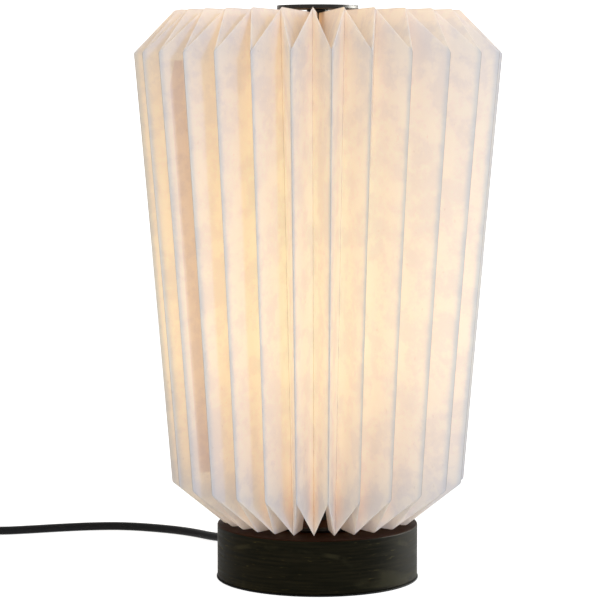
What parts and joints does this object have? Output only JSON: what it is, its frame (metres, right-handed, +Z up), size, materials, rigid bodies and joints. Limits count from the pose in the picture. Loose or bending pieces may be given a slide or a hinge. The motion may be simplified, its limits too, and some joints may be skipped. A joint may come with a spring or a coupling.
{
  "type": "pleated paper table lamp",
  "caption": "Table lamp with a tall accordion-pleated translucent paper shade, gathered under a dark cap, on a turned dark wooden base with a corded plug.",
  "frame": {"origin": "on the surface the lamp stands on, under the middle of the round base", "axes": "+Z up along the axis of the base and shade, +Y to the back where the cord leaves the base"},
  "size_m": [0.5663, 0.302, 0.4014],
  "materials": {
    "stained_wood": "satin, turned",
    "pad": "matt",
    "black_metal": "matt black",
    "zinc": "zinc plated",
    "holder": "moulded",
    "porcelain": "glazed",
    "brass": "bright",
    "bulb_glass": "frosted",
    "black_glass": "glassy",
    "clear_glass": "clear",
    "filament": "drawn wire",
    "paper": "mottled, translucent",
    "paper_seam": "mottled, translucent",
    "cord": "smooth sheath",
    "cord_fittings": "moulded",
    "cores": "smooth",
    "plated_pins": "nickel plated"
  },
  "bodies": {
    "base": {"base_block": "stained_wood", "base_pad": "pad", "stem_tube": "black_metal", "stem_nipple": "zinc", "stem_washer": "zinc", "stem_nut": "zinc", "holder_cap": "holder", "holder_shell": "holder", "holder_insulator": "porcelain", "holder_sleeve": "brass", "holder_contact": "brass", "cord_run": "cord", "cord_grommet": "cord_fittings", "lead_inside": "cord", "lead_wires": "cores", "clamp_block": "cord_fittings", "clamp_saddle": "cord_fittings", "clamp_screws": "zinc", "cord_link": "cord", "switch_base": "cord_fittings", "switch_cover": "cord_fittings", "switch_reliefs": "cord_fittings", "switch_screws": "zinc", "cord_coil": "cord", "cord_tie": "cord_fittings", "cord_tail": "cord", "plug_relief": "cord_fittings", "plug_body": "cord_fittings", "plug_pins": "plated_pins"},
    "shade": {"shade_paper": "paper", "seam_strip": "paper_seam", "bottom_ring": "zinc", "top_stud": "black_metal", "top_collar": "black_metal", "clamp_washer": "zinc", "clamp_nut": "zinc"},
    "cap": {"cap_disc": "black_metal"},
    "bulb": {"bulb_glass": "bulb_glass", "bulb_screw": "zinc", "bulb_insulator": "black_glass", "bulb_contact": "zinc", "bulb_mount": "clear_glass", "bulb_filament": "filament"},
    "rocker": {"switch_rocker": "cord_fittings"}
  },
  "joints": [
    {"name": "shade_lift", "type": "slide", "parent": "base", "child": "shade", "axis": [0, 0, 1], "range_m": [0, 0.18]},
    {"name": "cap_turn", "type": "hinge", "parent": "shade", "child": "cap", "pos_m": [0, 0, 0.4], "axis": [0, 0, 1], "continuous": true},
    {"name": "bulb_turn", "type": "hinge", "parent": "base", "child": "bulb", "pos_m": [0, 0, 0.1], "axis": [0, 0, 1], "continuous": true},
    {"name": "switch_rock", "type": "hinge", "parent": "base", "child": "rocker", "pos_m": [-0.336, 0.146, 0.01535], "axis": [0, 1, 0], "range_deg": [0, 14]}
  ]
}
